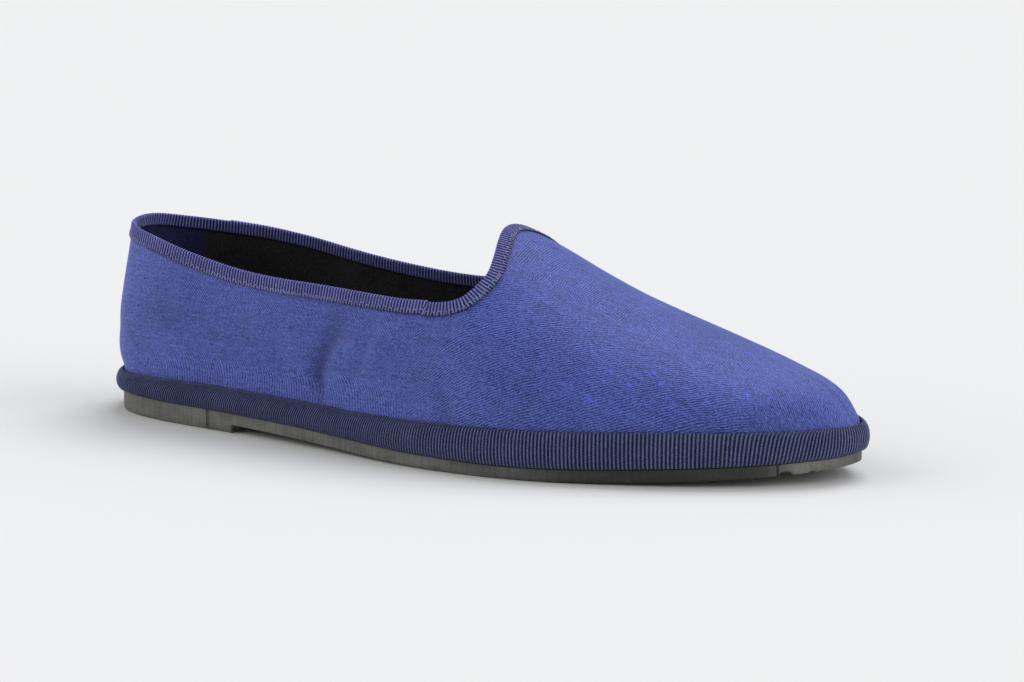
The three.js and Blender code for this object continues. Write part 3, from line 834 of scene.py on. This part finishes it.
def makeSilk():
    uvRows = [np.stack([clothAlong[:, r], clothUp[:, r]], axis=1) for r in range(upperSizes["rows"] + 1)]
    rings = clothRings(clothFace, clothLayer(1, upperSizes["silk"]))
    # painted shade in the creases, by crease depth, for the silk material
    paintedCreaseShade = np.clip(faceSunk / upperSizes["darkDepth"], 0, upperSizes["darkest"])
    paintedCreaseShade = np.concatenate([paintedCreaseShade[:, r] for r in range(paintedCreaseShade.shape[1])] * 2)
    piece = solid("silkUpper", rings, True, np.concatenate(uvRows + uvRows[::-1]), {"paintedCreaseShade": paintedCreaseShade})
    return dress(piece, "silk", silk, "upper")


def makeLining():
    rings = clothRings(clothLayer(2, upperSizes["liningStart"]), clothLayer(2, upperSizes["wall"]))
    piece = solid("lining", rings, True)
    return dress(piece, "insole_cloth", liningCloth, "upper")


makeSilk()
makeLining()
print("upper made")


# Topline binding: a ribbed ribbon folded over the edge
bindingSizes = {
    "ribPitch": 0.00112,
    "stepsPerRib": 6,
    "radius": 0.0007,         # of the fold, to the ribbon's outside
    "outsideLeg": 0.0032,     # below the edge of the wall
    "insideLeg": 0.0024,
    "ribbon": 0.0003,
    "ribDepth": 0.00024,
    "squareness": 1.0,
    "unevenness": 0.00016,
    "joinAt": 0.0335,         # where the ribbon's end laps over, from the heel along the inner side
    "joinLength": 0.024,
    "joinBulk": 0.00032,
    "joinStep": 0.0003,       # over which the lap starts
    "joinFade": 0.7,
    "flare": 0.0001,          # how far the legs stand off at their ends
}


def smoothRound(values, width):  # evens out a closed line of numbers or points
    spread = int(width * 3)
    weights = np.exp(-0.5 * (np.arange(-spread, spread + 1) / width) ** 2)
    weights /= weights.sum()
    total = np.zeros_like(values)
    for k, weight in zip(range(-spread, spread + 1), weights):
        total += weight * np.roll(values, k, axis=0)
    return total


def toplineFrames(count):  # evenly spaced points, outward and upward directions round the topline
    points = faceGrid[:, -1]
    steps = np.linalg.norm(np.roll(points, -1, axis=0) - points, axis=1)
    walked = travelled(steps)
    wanted = np.linspace(0, walked[-1], count, endpoint=False)

    def spaced(values):
        ring = np.concatenate([values, values[:1]])
        return np.stack([np.interp(wanted, walked, ring[:, k]) for k in range(3)], axis=1)
    place = spaced(points)
    out = spaced(faceNormals[:, -1])
    along = np.roll(place, -1, axis=0) - np.roll(place, 1, axis=0)
    along = smoothRound(along, 3)
    along /= np.linalg.norm(along, axis=1, keepdims=True)
    out = smoothRound(out, 4)
    out -= (out * along).sum(axis=1, keepdims=True) * along
    out /= np.linalg.norm(out, axis=1, keepdims=True)
    up = np.cross(out, along)
    if up[0, 2] < 0:
        up = -up
    return place, out, up, walked[-1]


def bindingMiddle(place, out, up):
    rise = foldRadius - bindingSizes["radius"]
    return place - out * upperSizes["wall"][0] / 2 + up * rise, rise


def makeBinding():
    sizes = bindingSizes
    ribs = round(toplineFrames(100)[3] / sizes["ribPitch"])
    count = ribs * sizes["stepsPerRib"]
    place, out, up, total = toplineFrames(count)
    middle, rise = bindingMiddle(place, out, up)
    outer = sizes["radius"]
    inner = outer - sizes["ribbon"]
    outside, inside = sizes["outsideLeg"] + rise, sizes["insideLeg"] + rise
    # each section point: sideways, upwards and fade; a low fade flattens the ribs and paints shade, on the
    # inner side and at the legs' ends
    section = []
    for step in np.linspace(1, 0, 8)[:-1]:
        section.append((outer + sizes["flare"] * step ** 3, -outside * step, 1 - step ** 10))
    for angle in np.linspace(0, math.pi, 11):
        section.append((outer * math.cos(angle), outer * math.sin(angle), 1))
    for step in np.linspace(0, 1, 6)[1:]:
        section.append((-outer - sizes["flare"] * step ** 3, -inside * step, 1 - step ** 10))
    for step in np.linspace(1, 0, 3)[:-1]:
        section.append((-inner, -inside * step, 0))
    for angle in np.linspace(math.pi, 0, 5):
        section.append((inner * math.cos(angle), inner * math.sin(angle), 0))
    for step in np.linspace(0, 1, 4)[1:]:
        section.append((inner, -outside * step, 0))
    phase = np.arange(count) / sizes["stepsPerRib"]
    back = total - phase * total / ribs - sizes["joinAt"]
    lapped = np.clip(back / sizes["joinStep"], 0, 1)
    lapped = lapped * np.clip(1 - back / sizes["joinLength"], 0, 1) ** sizes["joinFade"]
    grown = (1 + lapped * sizes["joinBulk"] / outer)[:, None]
    rings, fades, uv, walked = [], [], [], 0
    for index, (sideways, upwards, fade) in enumerate(section):
        outwardBy = sideways * (grown if fade else 1)
        upwardBy = upwards * (grown if fade and upwards > 0 else 1)
        rings.append(middle + out * outwardBy + up * upwardBy)
        fades.append(np.full(count, fade))
        if index:
            walked += math.dist(section[index - 1][:2], (sideways, upwards))
        uv.append(np.stack([phase, np.full(count, walked)], axis=1))
    attributes = {"ribPhase": np.tile(phase, len(section)), "ribFade": np.concatenate(fades)}
    piece = solid("toplineRibbon", rings, True, np.concatenate(uv), attributes)
    runTree(piece, raisedRibs, {"Rib Depth": sizes["ribDepth"], "Rib Squareness": sizes["squareness"],
                                "Unevenness": sizes["unevenness"], "Material": bindingRibbon})
    return dress(piece, "binding_ribbon", bindingRibbon, "topline_binding")


raisedRibs = ribTree()
makeBinding()
print("binding made")


# Midsole: cloth layers with a ribbed ribbon over their edge
midsoleSizes = {
    "stepsPerRib": 6,
    "ribDepth": 0.00034,
    "squareness": 1.0,
    "unevenness": 0.0003,
    "inward": [1.1, 0.55, 0.2, 0, 0.03, 0.22, 0.52, 0.8],   # shares of the upper inset
    "up": [0, 0.02, 0.14, 0.38, 0.62, 0.84, 0.97, 1],       # shares of the edge height
    "rows": 16,
    "across": 0.018,          # of the ribbon, from the foot of the edge to its top
    "footFade": 6,            # the ribs rise, and the painted shade at the foot lifts, over a sixth of that
}
ribPitch = curveThrough([0, 0.15, 0.4, 0.6, 0.8, 1], [0.0009, 0.0009, 0.00095, 0.00115, 0.0013, 0.0012])
# How far the top of a rib has slipped towards the toe
ribSlip = curveThrough([0, 0.06, 0.2, 0.35, 0.5, 0.65, 0.85, 0.95, 1],
                       [0, 0.0045, 0.0055, 0.005, 0.0018, 0, 0.0004, 0.003, 0])


def edgeTurns(side, columns):  # turns that stand at even shares of a rib
    turns = np.linspace(0, 1, 1501)
    x, y = footprint(turns, side, 0.0)
    steps = np.hypot(np.diff(x), np.diff(y))
    pitches = ribPitch(placeOfTurn((turns[1:] + turns[:-1]) / 2))
    phase = travelled(steps / pitches)
    if columns is None:
        return phase[-1]
    return np.interp(np.linspace(0, phase[-1], columns + 1), phase, turns)


def makeMidsole():
    sizes = midsoleSizes
    ribs = round((edgeTurns(-1, None) + edgeTurns(1, None)) / 2)
    columns = ribs * sizes["stepsPerRib"]
    turns = np.concatenate([edgeTurns(-1, columns), edgeTurns(1, columns)[-2:0:-1]])
    sides = np.concatenate([np.full(columns + 1, -1), np.full(columns - 1, 1)])
    steps = np.concatenate([np.arange(columns + 1), np.arange(columns - 1, 0, -1)])
    phase = steps / sizes["stepsPerRib"]
    at = placeOfTurn(turns)
    knots = np.linspace(0, 1, len(sizes["up"]))
    inwardOf = curveThrough(knots, sizes["inward"])
    upOf = curveThrough(knots, sizes["up"])
    rings, fades, uv = [], [], []

    perTurn = np.maximum(np.sin(np.pi * turns), 0.05) * math.pi / 2 * last["length"]
    slip = ribSlip(at) / perTurn

    def ring(inward, height, fade, walked, slipped):
        x, y = footprint(np.clip(turns + slip * slipped ** 2, 0, 1), sides, inward)
        rings.append(np.stack([x, y, height], axis=1))
        fades.append(np.full(len(turns), fade))
        uv.append(np.stack([phase, np.full(len(turns), walked)], axis=1))
    for share in np.linspace(0, 1, sizes["rows"]):
        there = placeOfTurn(np.clip(turns + slip * share ** 2, 0, 1))
        under, top = midsoleUnder(there), midsoleTop(there)
        height = under + (top - under) * float(upOf(share))
        fade = min(1.0, share * sizes["footFade"])
        ring(float(inwardOf(share)) * last["upperInset"], height, fade, share * sizes["across"], share)
    # the seat rings take a low fade: painted shade in the groove
    seatInset = last["upperInset"] - last["clearance"]
    ring(seatInset, midsoleTop(at) - last["clearance"], 0.3, sizes["across"] + 0.001, 0)
    ring(seatInset, seat(at), 0, sizes["across"] + 0.002, 0)
    attributes = {"ribPhase": np.tile(phase, len(rings)), "ribFade": np.concatenate(fades)}
    piece = solid("midsoleRibbon", rings, False, np.concatenate(uv), attributes)
    runTree(piece, raisedRibs, {"Rib Depth": sizes["ribDepth"], "Rib Squareness": sizes["squareness"],
                                "Unevenness": sizes["unevenness"], "Material": edgeRibbon})
    return dress(piece, "edge_ribbon", edgeRibbon, "midsole")


makeMidsole()
print("midsole made")


# Outsole: one cut piece of rubber with a heel block
outsoleSizes = {
    "perSide": 220,
    "inset": 0.0023,
    "bevel": 0.0007,
    "rim": 0.0012,            # flat of the underside inside the bevel
    "core": 0.008,
    "heelBlock": 0.058,
    "faceSlope": 0.0004,
    "archRise": 0.0026,
    "ballStart": 0.56,
    "slitAt": 0.177,          # share of the length where the block's side is slit
    "slitWidth": 0.0003,
    "slitDepth": 0.0007,
    "lip": 0.0003,            # the slit's front edge stands out
    "jointAt": 0.933,         # hairline cut near the toe
    "notches": [(0.941, 0.002, 0.0014), (0.966, 0.0007, 0.0006)],   # place, half width, height
    "notchRun": 0.6,          # share of a notch's height left at the rim
    "blockGap": 0.0016,       # columns this near the block's face give way to it
}


def makeOutsole():
    sizes = outsoleSizes
    length = last["length"]
    front = sizes["heelBlock"] / length
    faceTop = (sizes["heelBlock"] + sizes["faceSlope"]) / length
    steps = list(np.linspace(0, 1, sizes["perSide"] + 1))
    steps = [t for t in steps if abs(placeOfTurn(t) - front) > sizes["blockGap"]]
    steps += [float(turnOfPlace(front)), float(turnOfPlace(faceTop))]
    for place in (sizes["slitAt"], sizes["jointAt"]):
        for k in np.linspace(-1, 3, 9):
            steps.append(float(turnOfPlace(place + k * sizes["slitWidth"] / length)))
    for place, width, height in sizes["notches"]:
        for k in np.linspace(-1, 1, 9):
            steps.append(float(turnOfPlace(place + k * width / length)))
    steps = np.array(sorted(set(steps)))
    turns = np.concatenate([steps, steps[-2:0:-1]])
    sides = np.concatenate([np.full(len(steps), -1), np.full(len(steps) - 2, 1)])
    at = placeOfTurn(turns)
    ease = np.clip((at - front) / (sizes["ballStart"] - front), 0, 1)
    arch = sizes["archRise"] * (1 - ease * ease * (3 - 2 * ease))
    under = np.where(at < faceTop - 1e-9, 0, arch + spring(at))
    top = midsoleUnder(at) - last["clearance"]

    def closeTo(place, width):  # 1 at a place along the shoe, 0 from this width off
        return np.clip(1 - np.abs(at - place) * length / width, 0, 1)
    slit = sizes["slitWidth"]
    cut = np.zeros_like(at)
    for place in (sizes["slitAt"], sizes["jointAt"]):
        lip = closeTo(place + 2 * slit / length, slit) * sizes["lip"]
        cut += np.where(sides < 0, closeTo(place, slit) * sizes["slitDepth"] - lip, 0)
    notch = np.zeros_like(at)
    for place, width, height in sizes["notches"]:
        reach = 1 - closeTo(place, width)
        notch += np.where(sides < 0, height * np.sqrt(1 - reach ** 2), 0)
    bevel = sizes["bevel"]
    rings = []
    for inward, notchShare in ((sizes["core"], 0), (bevel + sizes["rim"], sizes["notchRun"])):
        x, y = footprint(turns, sides, sizes["inset"] + inward)
        rings.append(np.stack([x, y, under + notch * notchShare], axis=1))
    for inward, lift in ((bevel, 0.0), (bevel * 0.3, 0.3), (0.0, 1.0)):
        x, y = footprint(turns, sides, sizes["inset"] + inward + cut)
        rings.append(np.stack([x, y, np.minimum(under + notch + bevel * lift, top)], axis=1))
    wallFoot = rings[-1][:, 2]
    for share in np.linspace(0, 1, 6)[1:]:
        x, y = footprint(turns, sides, sizes["inset"] + cut)
        rings.append(np.stack([x, y, wallFoot + (top - wallFoot) * share], axis=1))
    piece = solid("rubberOutsole", rings, False)
    piece.data.set_sharp_from_angle(angle=math.radians(32))
    return dress(piece, "rubber", rubber, "outsole")


makeOutsole()
print("outsole made")


# Insole: the sock inside
insoleSizes = {
    "perSide": 120,
    "margin": 0.0016,
    "thickness": 0.0018,
    "bevel": 0.0008,
}


def makeInsole():
    sizes = insoleSizes
    turns, sides = aroundTurns(sizes["perSide"])
    at = placeOfTurn(turns)
    inset = last["upperInset"] + last["wall"] + sizes["margin"]
    bottom = seat(at) + last["clearance"]
    bevel, shoulder = sizes["bevel"], sizes["thickness"] - sizes["bevel"]
    profile = [(0, 0), (0, shoulder)]
    for angle in np.linspace(0, math.pi / 2, 5)[1:]:
        profile.append((bevel * (1 - math.cos(angle)), shoulder + bevel * math.sin(angle)))
    rings = []
    for inward, lift in profile:
        x, y = footprint(turns, sides, inset + inward)
        rings.append(np.stack([x, y, bottom + lift], axis=1))
    piece = solid("insoleSock", rings, False)
    return dress(piece, "insole_cloth", blackCloth, "insole")


makeInsole()
print("insole made")


# Stitches along the lower edge of the binding
stitchSizes = {
    "pitch": 0.0023,
    "thread": 0.00012,
    "width": 0.00125,
    "height": 0.0013,
    "smallest": 0.82,         # of its full size
    "largest": 1.2,
    "standOff": 0.00014,      # from the ribbon
    "below": 0.0001,          # the ribbon's edge
    "sunk": 0.0003,           # its ends, into the silk
    "lift": 0.0001,
    "pathPoints": 900,
}


def stitchTemplate():  # one arch of thread: up from the ribbon's edge, across and down again
    sizes = stitchSizes
    half, height, lift = sizes["width"] / 2, sizes["height"], sizes["lift"]
    leg = [(half * 1.1, 0, -sizes["sunk"]), (half, height * 0.5, lift), (half * 0.8, height, lift)]
    top = (0, height * 1.12, lift * 1.6)
    route = np.array([(-x, y, z) for x, y, z in leg] + [top] + leg[::-1])
    sidesCount = 6
    points, faces = [], []
    for k, centre in enumerate(route):
        ahead = route[min(k + 1, len(route) - 1)] - route[max(k - 1, 0)]
        ahead = ahead / np.linalg.norm(ahead)
        across = np.cross(ahead, [0, 0, 1])
        across /= np.linalg.norm(across)
        above = np.cross(across, ahead)
        for s in range(sidesCount):
            turn = 2 * math.pi * s / sidesCount
            points.append(centre + sizes["thread"] * (across * math.cos(turn) + above * math.sin(turn)))
    for k in range(len(route) - 1):
        low, high = k * sidesCount, (k + 1) * sidesCount
        for s in range(sidesCount):
            t = (s + 1) % sidesCount
            faces.append([low + s, low + t, high + t, high + s])
    faces.append(list(range(sidesCount))[::-1])
    faces.append([(len(route) - 1) * sidesCount + s for s in range(sidesCount)])
    return meshFrom("stitchTemplate", np.array(points), faces)


def makeStitches():
    sizes = stitchSizes
    place, out, up = toplineFrames(sizes["pathPoints"])[:3]
    middle, rise = bindingMiddle(place, out, up)
    below = bindingSizes["outsideLeg"] + rise + sizes["below"]
    line = middle + out * (bindingSizes["radius"] + sizes["standOff"]) - up * below
    mesh = bpy.data.meshes.new("toplineStitches")
    edges = [(k, (k + 1) % len(line)) for k in range(len(line))]
    mesh.from_pydata(line.tolist(), edges, [])
    attribute = mesh.attributes.new("outward", "FLOAT_VECTOR", "POINT")
    attribute.data.foreach_set("vector", out.astype(np.float32).ravel())
    piece = linked("toplineStitches", mesh)
    template = stitchTemplate()
    runTree(piece, stitchTree(), {
        "Stitch": template, "Stitch Pitch": sizes["pitch"], "Seed": 4,
        "Smallest": sizes["smallest"], "Largest": sizes["largest"], "Material": stitchThread})
    bpy.data.objects.remove(template)
    return dress(piece, "binding_ribbon", stitchThread)


makeStitches()
print("stitches made")


# Floor, daylight and lamps
studio = {
    "floorTone": 0.8,
    "skyStrength": 0.38,
    "skyColour": (1, 0.985, 0.9),
    # strength, spread in degrees, then the direction that the light comes from
    "lamps": {
        "topLamp": (1.35, 40, (0.05, 0.55, 1)),
        "leftLamp": (1.2, 60, (-1, -0.4, 0.5)),
        "rightLamp": (1.3, 60, (1, 0.2, 0.5)),
    },
    "lampColour": (0.985, 1, 1.06),
}


def makeStudio():
    bpy.ops.mesh.primitive_plane_add(size=60)
    floor = bpy.context.object
    floor.name = "studioFloor"
    material, tree, shader = newMaterial("paleFloor")
    tone = studio["floorTone"]
    shader.inputs["Base Color"].default_value = (tone, tone, tone, 1)
    shader.inputs["Roughness"].default_value = 1.0
    shader.inputs["Specular IOR Level"].default_value = 0.0
    floor.data.materials.append(material)
    world = bpy.data.worlds.new("softSky")
    world.use_nodes = True
    sky = world.node_tree.nodes["Background"]
    sky.inputs["Color"].default_value = (*studio["skyColour"], 1)
    sky.inputs["Strength"].default_value = studio["skyStrength"]
    bpy.context.scene.world = world
    for name, (strength, spread, direction) in studio["lamps"].items():
        lamp = bpy.data.lights.new(name, "SUN")
        lamp.energy = strength
        lamp.color = studio["lampColour"]
        lamp.angle = math.radians(spread)
        lookFrom(linked(name, lamp), Vector(direction))
    bpy.context.scene.view_settings.view_transform = "Standard"


makeStudio()
print("studio made")
